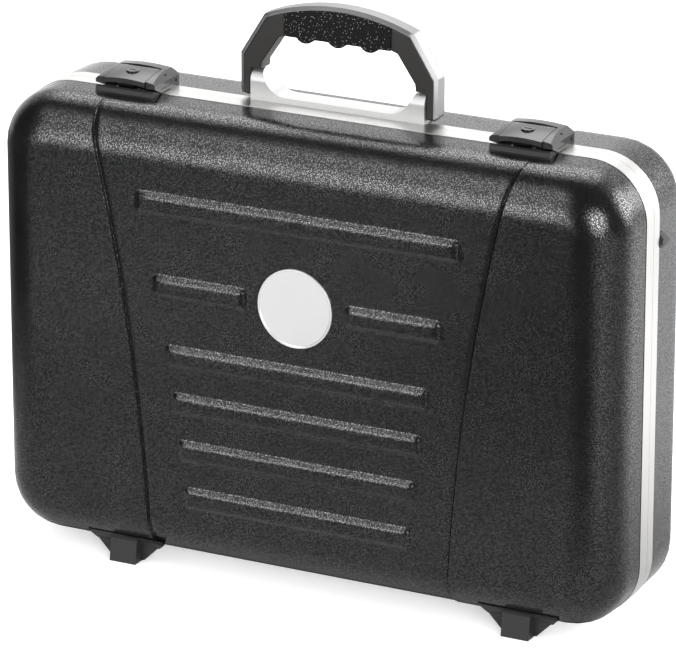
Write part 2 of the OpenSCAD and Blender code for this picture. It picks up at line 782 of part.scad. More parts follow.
module catch_block(s) {
    color([0.1, 0.1, 0.1]) at_latch(s) difference() {
        union() {
            difference() {
                side_bar(catch_w) polygon([[-catch_back, -4], [-catch_back, 0.2],
                    [-latch_front, catch_h - 0.2],
                    [-catch_front + 1.5, catch_h], [-catch_front, catch_h - 1], [-catch_front - 0.4, -0.4],
                    [-catch_front - 4, -1], [-catch_front - 9, -3.6], [-catch_front - 9, -8]]);
                translate([-catch_w / 2 + 5, -catch_wall_y, -3]) cube([catch_w - 10, 30, 20]);
            }
            for (t = [-1, 1]) translate([t * (bar_half - 2) - 2, -catch_wall_y - 0.2, -3])
                cube([4, catch_wall_y - bar_y + 2.3, catch_h + 3]);
        }
        translate([-s * latch_x, 0, -top_z]) front_form(touch);
        translate([0, -bar_y, bar_z]) rotate([0, 90, 0])
            cylinder(d = bar_d, h = 2 * bar_half, center = true);
        for (x = [-1, 1]) translate([x * catch_rivet_x, -catch_rivet_y, -3]) cylinder(d = rivet_d, h = 5);
    }
}

module catch_bars() {
    color([0.7, 0.7, 0.7]) for (s = [-1, 1]) at_latch(s) translate([0, -bar_y, bar_z]) rotate([0, 90, 0])
        cylinder(d = bar_d, h = 2 * bar_half, center = true);
}

module catch_rivet_places() {
    for (s = [-1, 1], x = [-1, 1]) translate([s * latch_x + x * catch_rivet_x, -catch_rivet_y, top_z])
        children();
}

module catch_rivets() {
    color([0.6, 0.6, 0.6]) translate([0, seam_y, 0]) catch_rivet_places() {
        translate([0, 0, -3.5]) cylinder(d = rivet_d, h = 5.2);
        translate([0, 0, -4.5]) cylinder(d = 1.9 * rivet_d, h = 1.1);
    }
}

// Hinges under the frame: the axis runs along X below the seam
axis_z = floor_gap - hinge_drop;
knuckle_r = hinge_drop - 0.1;
knuckle_l = hinge_l / 3;
rivet_depth = 1.8;
hinge_rivet_y = 5.4;

// Rivet places of the leaves on side t: -1 for the front leaves, 1 for the rear ones
module hinge_rivet_places(t) {
    for (s = [-1, 1], x = [-1, 1])
        translate([s * hinge_x + x * hinge_l * 0.42, t * hinge_rivet_y, floor_gap]) children();
}

module hinge_leaf(s, t) {
    color([0.72, 0.72, 0.73]) translate([s * hinge_x, seam_y, 0]) difference() {
        union() {
            translate([-hinge_l / 2, t > 0 ? 0.6 : -8.4, floor_gap - leaf_t]) cube([hinge_l, 7.8, leaf_t]);
            for (k = t > 0 ? [-1, 1] : [0]) translate([k * knuckle_l, 0, axis_z]) rotate([0, 90, 0])
                cylinder(r = knuckle_r, h = knuckle_l - 0.2, center = true);
        }
        for (k = t > 0 ? [0] : [-1, 1]) translate([k * (knuckle_l + 2), 0, axis_z]) rotate([0, 90, 0])
            cylinder(r = knuckle_r + 0.3, h = knuckle_l + 0.2 + (t > 0 ? 0 : 4), center = true);
        translate([0, 0, axis_z]) rotate([0, 90, 0])
            cylinder(d = hinge_pin_d + (t > 0 ? 0 : 2 * run_gap), h = 2 * hinge_l, center = true);
        for (x = [-1, 1]) translate([x * hinge_l * 0.42, t * hinge_rivet_y, 0])
            cylinder(d = rivet_d, h = 20);
    }
}

module hinge_pins() {
    color([0.6, 0.6, 0.6]) for (s = [-1, 1]) translate([s * hinge_x, seam_y, axis_z]) rotate([0, 90, 0])
        cylinder(d = hinge_pin_d, h = hinge_l - 0.2, center = true);
}

module hinge_rivets(t) {
    color([0.6, 0.6, 0.6]) translate([0, seam_y, 0]) hinge_rivet_places(t) {
        translate([0, 0, -leaf_t - eps]) cylinder(d = rivet_d, h = leaf_t + rivet_depth);
        translate([0, 0, -leaf_t - 1]) cylinder(d = 1.9 * rivet_d, h = 1);
    }
}

// Stays: two links a side between the shells; sizes measured from the hinge axis
stay_l = sqrt(pow(stay_up, 2) + pow(stay_off, 2));
stay_lean = atan(stay_off / stay_up);
layer_gap = 0.2;
mount_t = rim_in + touch;

// Moves children to side s at a depth in from the frame's outer face, with X pointing inward
module at_side(s, y, z) {
    translate([s * half_w, seam_y + y, axis_z + z]) scale([-s, 1, 1]) children();
}

// Flat mount on a shell's wall with a stud for the link that reaches in to the end e
module stay_mount(s, t) {
    e = t > 0 ? link_in : link_in + link_t + layer_gap;
    color([0.7, 0.7, 0.7]) {
        intersection() {
            at_side(s, t * (stay_off + 1), stay_up) difference() {
                translate([0, -6, -15]) cube([mount_t, 12, 30]);
                for (z = [-1, 1]) translate([-1, 0, 11 * z]) rotate([0, 90, 0])
                    cylinder(d = rivet_d, h = 10);
            }
            translate([0, seam_y, 0]) if (t > 0) rear_space(touch); else front_space(touch);
        }
        at_side(s, t * stay_off, stay_up) rotate([0, 90, 0]) {
            translate([0, 0, rim_in]) cylinder(d = 9, h = e - rim_in - 0.2);
            translate([0, 0, rim_in]) cylinder(d = stay_pin_d, h = e + link_t + 0.2 - rim_in);
            translate([0, 0, e + link_t + 0.1]) cylinder(d = 8, h = 1);
        }
    }
}

module stay_screws(t) {
    color([0.6, 0.6, 0.6]) for (s = [-1, 1], z = [-1, 1]) at_side(s, t * (stay_off + 1), stay_up + 11 * z)
        rotate([0, 90, 0]) {
            translate([0, 0, 3.6]) cylinder(d = rivet_d, h = mount_t - 3.5);
            translate([0, 0, mount_t]) cylinder(d = 1.9 * rivet_d, h = 1);
        }
}

// Link from a shell's stud up to the middle joint; rear links lie in the outer layer
module stay_link(s, t) {
    e = t > 0 ? link_in : link_in + link_t + layer_gap;
    hole = t > 0 ? stay_pin_d : stay_pin_d + 2 * run_gap;
    color([0.74, 0.74, 0.75]) at_side(s, t * stay_off, stay_up) translate([e, 0, 0]) rotate([90, 0, 90])
        rotate([0, 0, t * stay_lean]) linear_extrude(link_t) difference() {
            union() {
                translate([-link_w / 2, 0]) square([link_w, stay_l]);
                for (y = [0, stay_l]) translate([0, y]) circle(d = link_w);
            }
            circle(d = stay_pin_d + 2 * run_gap);
            translate([0, stay_l]) circle(d = hole);
        }
}

// Rivet of the middle joint, fast in the rear link and free in the front one
module stay_joint(s) {
    color([0.6, 0.6, 0.6]) at_side(s, 0, 2 * stay_up) rotate([0, 90, 0]) {
        translate([0, 0, link_in - 1]) cylinder(d = 8, h = 1);
        translate([0, 0, link_in - 0.5]) cylinder(d = stay_pin_d, h = 2 * link_t + layer_gap + 1);
        translate([0, 0, link_in + 2 * link_t + layer_gap + 0.1]) cylinder(d = 8, h = 1);
    }
}

// Front view of a foot: a flange that narrows downward and the block under it
flange_top = 20;
flange_low = 10.5;

module foot_flange() {
    translate([0, -mid_z]) polygon([[-foot_w / 2, flange_top], [foot_w / 2, flange_top],
        [foot_w * 0.36, flange_low], [-foot_w * 0.36, flange_low]]);
}

// Web behind the block, from the flange down to the ground
module foot_web() {
    translate([0, -mid_z]) polygon([[-foot_w * 0.4, flange_low + 4], [foot_w * 0.4, flange_low + 4],
        [foot_block_w * 0.62, 1], [-foot_block_w * 0.62, 1]]);
}

module foot(s, t) {
    x = s * foot_x - t * foot_shift;
    color([0.09, 0.09, 0.09]) translate([0, seam_y, 0]) difference() {
        union() {
            intersection() {
                if (t > 0) rear_form(foot_t); else front_form(foot_t);
                translate([x, 0, 0]) {
                    if (t > 0) slab(rear_face_y - 25, rear_face_y - 1) foot_flange();
                    else slab(front_face_y + 1, front_face_y + 25) foot_flange();
                }
            }
            translate([x - foot_block_w / 2, t > 0 ? rear_face_y - 20 : front_face_y + 4, 0])
                cube([foot_block_w, 16, flange_top - 4]);
            translate([x, 0, 0]) {
                if (t > 0) slab(rear_face_y - 16, rear_face_y - 12) foot_web();
                else slab(front_face_y + 12, front_face_y + 16) foot_web();
            }
        }
        if (t > 0) rear_form(touch); else front_form(touch);
    }
}

// Strap lugs on the rear shell's sides, one a side
module lug_screw_places() {
    for (s = [-1, 1]) translate([s * (half_w - shell_step - 0.4), rear_edge_y + 4, mid_z + lug_z - 2])
        rotate([0, -90 * s, 0]) children();
}

module strap_lugs() {
    l = rear_edge_y + line_gap;
    color([0.08, 0.08, 0.08]) translate([0, seam_y, 0]) difference() {
        union() {
            for (s = [-1, 1]) translate([s * (half_w - 3 + lug_t / 2), 0, mid_z + lug_z])
                side_bar(6 - lug_t)
                polygon([[l, -lug_h / 2], [l, lug_h / 2], [l + 4, lug_h / 2], [l + 8, lug_h / 4],
                    [l + lug_l - 2, -lug_h / 2 + 1], [l + lug_l - 2, -lug_h / 2], [l + 5, -lug_h * 0.7]]);
            for (s = [-1, 1]) translate([s * (half_w - 1), rear_edge_y + 4, mid_z + lug_z - 2])
                rotate([0, 90 * s, 0]) cylinder(r = 4, h = 1.8);
        }
        rear_form(touch);
        lug_screw_places() cylinder(d = screw_d, h = 20, center = true);
    }
}

module lug_screws() {
    color([0.6, 0.6, 0.6]) translate([0, seam_y, 0]) lug_screw_places() {
        translate([0, 0, -1.2]) cylinder(d = screw_d, h = 3.4);
        translate([0, 0, -2.2]) cylinder(d = 5, h = 0.7);
    }
}

module latch_housing_left() { latch_housing(-1); }
module latch_housing_right() { latch_housing(1); }
module latch_lever_left() { latch_lever(-1); }
module latch_lever_right() { latch_lever(1); }
module latch_claw_left() { latch_claw(-1); }
module latch_claw_right() { latch_claw(1); }
module key_cylinder_left() { key_cylinder(-1); }
module key_cylinder_right() { key_cylinder(1); }
module lock_cam_left() { lock_cam(-1); }
module lock_cam_right() { lock_cam(1); }
module catch_left() { catch_block(-1); }
module catch_right() { catch_block(1); }
module hinge_leaf_rear_left() { hinge_leaf(-1, 1); }
module hinge_leaf_rear_right() { hinge_leaf(1, 1); }
module hinge_leaf_front_left() { hinge_leaf(-1, -1); }
module hinge_leaf_front_right() { hinge_leaf(1, -1); }
module hinge_rivets_rear() { hinge_rivets(1); }
module hinge_rivets_front() { hinge_rivets(-1); }
module stay_mount_rear_left() { stay_mount(-1, 1); }
module stay_mount_rear_right() { stay_mount(1, 1); }
module stay_mount_front_left() { stay_mount(-1, -1); }
module stay_mount_front_right() { stay_mount(1, -1); }
module stay_screws_rear() { stay_screws(1); }
module stay_screws_front() { stay_screws(-1); }
module stay_link_rear_left() { stay_link(-1, 1); }
module stay_link_rear_right() { stay_link(1, 1); }
module stay_link_front_left() { stay_link(-1, -1); }
module stay_link_front_right() { stay_link(1, -1); }
module stay_joint_left() { stay_joint(-1); }
module stay_joint_right() { stay_joint(1); }
module foot_front_left() { foot(-1, -1); }
module foot_front_right() { foot(1, -1); }
module foot_rear_left() { foot(-1, 1); }
module foot_rear_right() { foot(1, 1); }

rear_shell();
front_shell();
rear_frame();
front_frame();
frame_seal();
badge();
handle_bracket();
bracket_screws();
handle_core();
handle_cover();
handle_grip();
handle_pins();
handle_washers();
latch_housing_left();
latch_housing_right();
latch_lever_left();
latch_lever_right();
latch_claw_left();
latch_claw_right();
key_cylinder_left();
key_cylinder_right();
lock_cam_left();
lock_cam_right();
lever_pins();
lever_springs();
catch_left();
catch_right();
catch_bars();
latch_screws();
catch_rivets();
hinge_leaf_rear_left();
hinge_leaf_rear_right();
hinge_leaf_front_left();
hinge_leaf_front_right();
hinge_pins();
hinge_rivets_rear();
hinge_rivets_front();
stay_mount_rear_left();
stay_mount_rear_right();
stay_mount_front_left();
stay_mount_front_right();
stay_screws_rear();
stay_screws_front();
stay_link_rear_left();
stay_link_rear_right();
stay_link_front_left();
stay_link_front_right();
stay_joint_left();
stay_joint_right();
foot_front_left();
foot_front_right();
foot_rear_left();
foot_rear_right();
strap_lugs();
lug_screws();
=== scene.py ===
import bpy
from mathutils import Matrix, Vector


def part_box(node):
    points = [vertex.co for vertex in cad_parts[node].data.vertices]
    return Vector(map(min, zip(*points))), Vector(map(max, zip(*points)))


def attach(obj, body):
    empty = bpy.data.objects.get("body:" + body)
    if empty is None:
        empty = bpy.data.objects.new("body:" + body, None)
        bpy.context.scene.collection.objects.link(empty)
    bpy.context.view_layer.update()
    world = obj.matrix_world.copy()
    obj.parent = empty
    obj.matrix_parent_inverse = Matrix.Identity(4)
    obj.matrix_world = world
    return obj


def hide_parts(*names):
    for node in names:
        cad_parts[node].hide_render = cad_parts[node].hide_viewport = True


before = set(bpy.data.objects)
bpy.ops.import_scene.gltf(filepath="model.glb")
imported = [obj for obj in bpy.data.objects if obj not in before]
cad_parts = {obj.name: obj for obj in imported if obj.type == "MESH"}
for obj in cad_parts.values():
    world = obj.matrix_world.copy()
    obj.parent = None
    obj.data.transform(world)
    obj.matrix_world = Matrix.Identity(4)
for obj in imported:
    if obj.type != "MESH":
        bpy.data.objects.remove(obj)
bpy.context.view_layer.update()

import math
import bmesh
import bpy
import numpy as np
from mathutils import Vector


# The camera: a long lens at the front right, a little above the case, as in the photograph.
# Its place is in millimetres in the frame of the case: X along the width, Y to the back, Z up.
MM = 0.001
photo_width, sensor_width, lens_px = 676, 36, 5155.5
azimuth, elevation, distance = math.radians(26.68), math.radians(19.69), 3440.5
aim = Vector((3.29, 1.25, 174.81))
back = Vector((math.sin(azimuth) * math.cos(elevation),
               -math.cos(azimuth) * math.cos(elevation), math.sin(elevation)))
bpy.ops.object.select_all(action="DESELECT")
bpy.ops.object.camera_add(location=(aim + back * distance) * MM)
camera = bpy.context.object
camera.name = "studio_camera"
camera.rotation_euler = back.to_track_quat("Z", "Y").to_euler()
camera.data.sensor_width = sensor_width
camera.data.lens = sensor_width * lens_px / photo_width
camera.data.clip_end = 50
bpy.context.scene.camera = camera
bpy.context.scene.view_settings.view_transform = "Standard"


# The room: white to the camera, and plain pale light on all that is matt.
# What is glossy mirrors soft boxes in front, at the right and behind, with dark gaps between them.
brightest, on_matt, to_camera = 10, 0.65, 1.0
world = bpy.data.worlds.new("studio_world")
bpy.context.scene.world = world
world.use_nodes = True
room = world.node_tree
toward = room.nodes.new("ShaderNodeTexCoord").outputs["Generated"]
axes = room.nodes.new("ShaderNodeSeparateXYZ")
room.links.new(toward, axes.inputs[0])


def ramp(tree, value, stops, ease="LINEAR"):
    """Colours at stops of (position, colour) along a value."""
    colours = tree.nodes.new("ShaderNodeValToRGB")
    bar = colours.color_ramp
    bar.interpolation = ease
    for k, (position, colour) in enumerate(stops):
        stop = bar.elements[k] if k < 2 else bar.elements.new(position)
        stop.position = position
        stop.color = (*colour, 1)
    tree.links.new(value, colours.inputs["Fac"])
    return colours.outputs["Color"]


def span(tree, value, low, high, start=0.3, end=0.7, way="LINEAR"):
    """A value from start to end, carried to low to high."""
    change = tree.nodes.new("ShaderNodeMapRange")
    change.interpolation_type = way
    for name, number in (("From Min", start), ("From Max", end), ("To Min", low), ("To Max", high)):
        change.inputs[name].default_value = number
    tree.links.new(value, change.inputs["Value"])
    return change.outputs[0]


def soft_span(tree, value, low, high, start, end):
    """The same, easing in and out."""
    return span(tree, value, low, high, start, end, "SMOOTHSTEP")


def combine(tree, operation, first, second):
    """Two values put together by a Math node."""
    both = tree.nodes.new("ShaderNodeMath")
    both.operation = operation
    tree.links.new(first, both.inputs[0])
    tree.links.new(second, both.inputs[1])
    return both.outputs[0]


def vector_math(tree, operation, place, other=None):
    """A place put through a Vector Math node, alone or with another vector."""
    step = tree.nodes.new("ShaderNodeVectorMath")
    step.operation = operation
    tree.links.new(place, step.inputs[0])
    if other is not None:
        step.inputs[1].default_value = other
    one_number = operation in ("DOT_PRODUCT", "LENGTH", "DISTANCE")
    return step.outputs["Value" if one_number else "Vector"]


def blend_values(tree, share, first, second):
    """First at share 0 and second at share 1, where second may be a plain number."""
    mix = tree.nodes.new("ShaderNodeMix")
    tree.links.new(share, mix.inputs["Factor"])
    tree.links.new(first, mix.inputs["A"])
    if isinstance(second, float):
        mix.inputs["B"].default_value = second
    else:
        tree.links.new(second, mix.inputs["B"])
    return mix.outputs["Result"]


def brightness(axis, points):
    """Brightness of the room along an axis from -1 to 1, through points of (value, brightness)."""
    stops = [((value + 1) / 2, (level / brightest,) * 3) for value, level in points]
    level = ramp(room, span(room, axes.outputs[axis], 0, 1, -1, 1), stops, "EASE")
    return span(room, level, 0, brightest, 0, 1)


# Behind the case the room is bright, and above and in front of it only the soft boxes are.
# A box is a direction, the angles in degrees where it is full and where it ends, and a level.
above = brightness("Y", ((-1, 0.04), (0.1, 0.05), (0.45, 1.2), (0.8, 1.7), (1, 1.7)))
soft_boxes = {
    "right front": ((0.68, -0.68, 0.22), 12, 22, 14),
    "right back": ((0.72, 0.60, 0.32), 12, 26, 10),
    "top back": ((-0.22, 0.50, 0.84), 8, 28, 5),
}
for middle, full, none, level in soft_boxes.values():
    facing = vector_math(room, "DOT_PRODUCT", toward, Vector(middle).normalized())
    ends, core = math.cos(math.radians(none)), math.cos(math.radians(full))
    above = combine(room, "ADD", above, soft_span(room, facing, 0, level, ends, core))

# A tall strip of light stands in front and to the left, with sharp edges
strip = brightness("Z", ((-0.20, 0), (-0.12, 6), (0, 9), (0.28, 8.5), (0.38, 4.5), (0.6, 4.5),
                         (0.78, 4.8), (0.86, 1.2), (0.9, 0)))
for axis, none, full in (("X", -0.60, -0.50), ("X", -0.16, -0.30), ("Y", 0, -0.1)):
    strip = combine(room, "MULTIPLY", strip, soft_span(room, axes.outputs[axis], 0, 1, none, full))
above = combine(room, "ADD", above, strip)

# Below the height of the floor the room differs in front of the case and behind it
low_front = brightness("X", ((-1, 0.15), (-0.60, 0.1), (-0.50, 0.6), (-0.42, 0.85), (-0.33, 0.1),
                             (0.4, 0.04), (0.6, 0.8), (0.78, 1.9), (0.94, 1.1)))
low_back = brightness("X", ((-1, 0.2), (-0.6, 0.28), (-0.3, 0.3), (0.3, 1.9), (0.66, 2.2), (0.95, 0.75)))
behind = soft_span(room, axes.outputs["Y"], 0, 1, -0.3, 0.35)
upward = soft_span(room, axes.outputs["Z"], 0, 1, -0.24, -0.12)
mirrored = blend_values(room, upward, blend_values(room, behind, low_front, low_back), above)
ray = room.nodes.new("ShaderNodeLightPath")
lighting = blend_values(room, ray.outputs["Is Diffuse Ray"], mirrored, on_matt)
strength = blend_values(room, ray.outputs["Is Camera Ray"], lighting, to_camera)
sky = room.nodes["Background"]
sky.inputs["Color"].default_value = (1, 1, 1, 1)
room.links.new(strength, sky.inputs["Strength"])


# The studio floor: a matt white board that keeps the soft shadow of the case.
# What the case mirrors of it is a painted glow, bright close to the front and fading into the room.
floor_size, board_glow, board_rough = 12, 0.5, 0.9
footprint, painted_glow_middle = (0.19, 0.02, 0), (-0.38, -0.62, 0)
floor_paint = bpy.data.materials.new("floor_paint")
floor_paint.use_nodes = True
board = floor_paint.node_tree
paint = board.nodes["Principled BSDF"]
paint.inputs["Base Color"].default_value = (0.9, 0.9, 0.9, 1)
paint.inputs["Roughness"].default_value = board_rough
paint.inputs["Specular IOR Level"].default_value = 0
own_glow = board.nodes.new("ShaderNodeEmission")
own_glow.inputs["Strength"].default_value = board_glow
lit = board.nodes.new("ShaderNodeAddShader")
board.links.new(paint.outputs[0], lit.inputs[0])
board.links.new(own_glow.outputs[0], lit.inputs[1])


def blend_shaders(tree, share, first, second):
    """First shader at share 0, second at share 1."""
    mix = tree.nodes.new("ShaderNodeMixShader")
    for socket, source in zip(mix.inputs, (share, first, second)):
        tree.links.new(source, socket)
    return mix.outputs[0]


# How far a point of the floor lies from the footprint of the case
on_floor = board.nodes.new("ShaderNodeTexCoord").outputs["Object"]
floor_axes = board.nodes.new("ShaderNodeSeparateXYZ")
board.links.new(on_floor, floor_axes.inputs[0])
away = vector_math(board, "ABSOLUTE", on_floor)
away = vector_math(board, "SUBTRACT", away, footprint)
away = vector_math(board, "MAXIMUM", away, (0, 0, 0))
away = vector_math(board, "LENGTH", away)

# Where the mirrored floor is seen at all: round the case, and further out in front and to the left
in_front = combine(board, "MULTIPLY", span(board, away, 1, 0, 0.95, 1.2),
                   span(board, floor_axes.outputs["Y"], 1, 0, -0.1, 0.05))
to_left = combine(board, "MULTIPLY", in_front, span(board, floor_axes.outputs["X"], 1, 0, 0.12, 0.25))
near = combine(board, "MAXIMUM", to_left, soft_span(board, away, 1, 0, 0.1, 0.42))

# How bright the painted glow is: close to the case and in one patch, with painted shadow right under the
# case
close = soft_span(board, away, 1, 0, 0.18, 0.62)
painted_glow_patch = soft_span(board, vector_math(board, "DISTANCE", on_floor, painted_glow_middle), 1, 0, 0.2, 0.33)
level = combine(board, "MULTIPLY", combine(board, "MAXIMUM", close, painted_glow_patch),
                soft_span(board, away, 0.05, 1.0, 0, 0.04))
# A painted glow that only reflections see, with no lamp behind it
painted_reflection_glow = board.nodes.new("ShaderNodeEmission")
board.links.new(level, painted_reflection_glow.inputs["Strength"])
clear = board.nodes.new("ShaderNodeBsdfTransparent")
in_mirror = blend_shaders(board, near, clear.outputs[0], painted_reflection_glow.outputs[0])
glossy = board.nodes.new("ShaderNodeLightPath").outputs["Is Glossy Ray"]
seen = blend_shaders(board, glossy, lit.outputs[0], in_mirror)
board.links.new(seen, board.nodes["Material Output"].inputs["Surface"])
bpy.ops.object.select_all(action="DESELECT")
bpy.ops.mesh.primitive_plane_add(size=floor_size, location=(0, 0, 0))
floor = bpy.context.object
floor.name = "studio_floor"
floor.data.materials.append(floor_paint)


# The lamps: two soft boxes that face the middle of the case, one high and wide, one in front.
# They are kept out of reflections, where the room shows its own boxes.
case_middle = Vector((0, 0, 0.18))
for name, place, size, watts in (("light_above_front", (-0.5, -0.85, 1.05), (0.3, 0.5), 1.0),
                                 ("light_top", (0, 0.1, 2.0), (1.6, 1.2), 7)):
    bpy.ops.object.light_add(type="AREA", location=place)
    lamp = bpy.context.object
    lamp.name = name
    lamp.data.shape = "RECTANGLE"
    lamp.data.size, lamp.data.size_y = size
    lamp.data.energy = watts
    lamp.visible_glossy = False
    lamp.rotation_euler = (Vector(place) - case_middle).to_track_quat("Z", "Y").to_euler()


# The two shells: deep-drawn sheets of black plastic with a moulded grain like fine leather.
# Each has a soft rounded edge, a panel set back between two curved lines, and raised ribs across it.
# A shell is one sheet: a grid laid over the face, its edge and its walls, then thickened inward.

# The outline of the frame, the height of its middle and the place of its seam
case_w, case_h, corner_r, middle_z, seam_y = 460, 316, 40, 166, 2.25
# How far the shells lie inside that outline, their wall, and the dark line between shell and frame
shell_step, wall, line_gap = 0.3, 2.6, 0.8
# From the seam to the frame's edge, from there to the face, the round between them, and the draft
front_edge, front_depth, front_round, front_draft = 11.5, 47, 32, 2.5
rear_edge, rear_depth, rear_round, rear_draft = 9.0, 45, 15, 1.5
# The tongue in the frame's slot: its set inward, and the depths of its shoulder and its tip
tongue_set, tongue_shoulder, tongue_reach = 1.95, 3.2, 6.4

# The panel: its depth, its half width at the lowest and the topmost rib, and the radius of its lines
panel_step, panel_low, panel_high, panel_curve = 1.6, 114, 142, 1470
# The step at a line of the panel, and the groove along its inner side
step_run, groove_depth, groove_inside, groove_w = 1.0, 0.7, 0.55, 0.45
# The ribs: height and rise, the rows above and below the middle, corners, section and ends
rib_h, rib_raise, rib_top, rib_low, rib_pitch, lower_ribs = 15, 2.2, 96.7, -8.8, 33.2, 4
rib_corner, rib_run, rib_foot, rib_fullness = 3.6, 5.4, 0.7, 2.6
rib_margin, rib_ease = 26.5, 0.03
# The row of the badge, its width, and the space from it to the two short ribs
badge_z, badge_d, badge_space = 39.6, 54.5, 9.6
short_rib_start = badge_d / 2 + badge_space
rib_rows = [rib_top] + [rib_low - k * rib_pitch for k in range(lower_ribs)]

# The panel's lines are arcs of one large circle
rib_bottom = rib_rows[-1]
panel_lean = math.atan((panel_high - panel_low) / (rib_top - rib_bottom))
panel_chord = math.hypot(panel_high - panel_low, rib_top - rib_bottom)
panel_arm = math.sqrt(panel_curve ** 2 - (panel_chord / 2) ** 2)
panel_cx = (panel_low + panel_high) / 2 + panel_arm * math.cos(panel_lean)
panel_cz = (rib_top + rib_bottom) / 2 - panel_arm * math.sin(panel_lean)

# The grid: points on each stretch of the edge's section and of half the face, rows round the edge of
# a rib and above the ribs, and how far its columns close up at a rib's end and at the panel's lines
edge_points, face_points = (3, 15, 5), (7, 8, 11, 8, 7, 9, 8)
near_rib = np.array([-6.3, -5.2, -4.2, -3.3, -2.5, -1.8, -1.2, -0.7, -0.3, 0.1, 0.5, 1.0, 1.8])
upper_rows, lowest_row, least_space = [107.5, 110, 113, 115.5], -117.2, 0.15
rib_lead, rib_slope, line_lead = 1.2, 4.5, 1.3


def panel_half(z):
    """Half width of the panel at a height above the middle of the case."""
    return panel_cx - np.sqrt(panel_curve ** 2 - (z - panel_cz) ** 2)


def rib_half(z):
    """Half length of a full rib at a height above the middle of the case."""
    return panel_half(z) - rib_margin + rib_ease * z


def soft_step(x):
    """From 0 at 0 to 1 at 1, easing in and out."""
    x = np.clip(x, 0, 1)
    return x * x * (3 - 2 * x)


def rib_height(x, z, middle, x0, x1):
    """Height at x, z of the rib from x0 to x1: a pillow with a wide round on a small hollow foot."""
    past_x = np.abs(x - (x0 + x1) / 2) - ((x1 - x0) / 2 - rib_corner)
    past_z = np.abs(z - middle) - (rib_h / 2 - rib_corner)
    outside = (np.hypot(np.maximum(past_x, 0), np.maximum(past_z, 0))
               + np.minimum(np.maximum(past_x, past_z), 0) - rib_corner)
    inward = (np.hypot(outside, rib_foot) - outside) / 2 - rib_foot * 0.15
    return rib_raise * (1 - (1 - np.clip(inward / rib_run, 0, 1)) ** rib_fullness)


